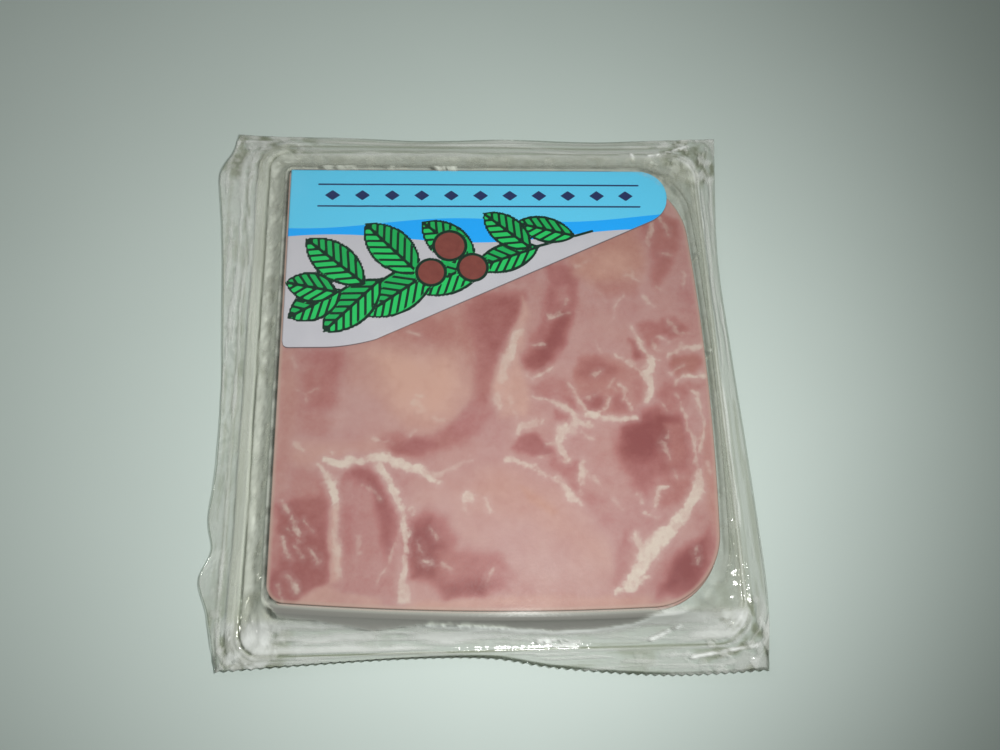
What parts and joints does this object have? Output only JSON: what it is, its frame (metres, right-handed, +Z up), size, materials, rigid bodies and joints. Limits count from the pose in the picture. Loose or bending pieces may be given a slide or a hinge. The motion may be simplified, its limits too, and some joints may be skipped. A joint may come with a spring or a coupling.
{
  "type": "vacuum pack of cooked pork shoulder",
  "caption": "Flat square vacuum pack: a stack of pink marbled cooked pork slices between two clear films, with a label under the upper film and a wide sealed margin.",
  "frame": {"origin": "on the table under the middle of the pack's outline", "axes": "+Z up through the slices, +Y towards the pack's back edge, where the label is, +X to its right"},
  "size_m": [0.1426, 0.15, 0.01],
  "materials": {
    "film": "clear glossy packing film, drawn tight by the vacuum, with small creases",
    "pork": "moist cooked pork, pink with paler and darker muscles and white fat seams",
    "label": "smooth printed label, light blue over pale lilac"
  },
  "bodies": {
    "root": {"lower_film": "film", "slice_1": "pork", "slice_2": "pork", "slice_3": "pork", "slice_4": "pork", "label": "label", "upper_film": "film"}
  },
  "joints": []
}
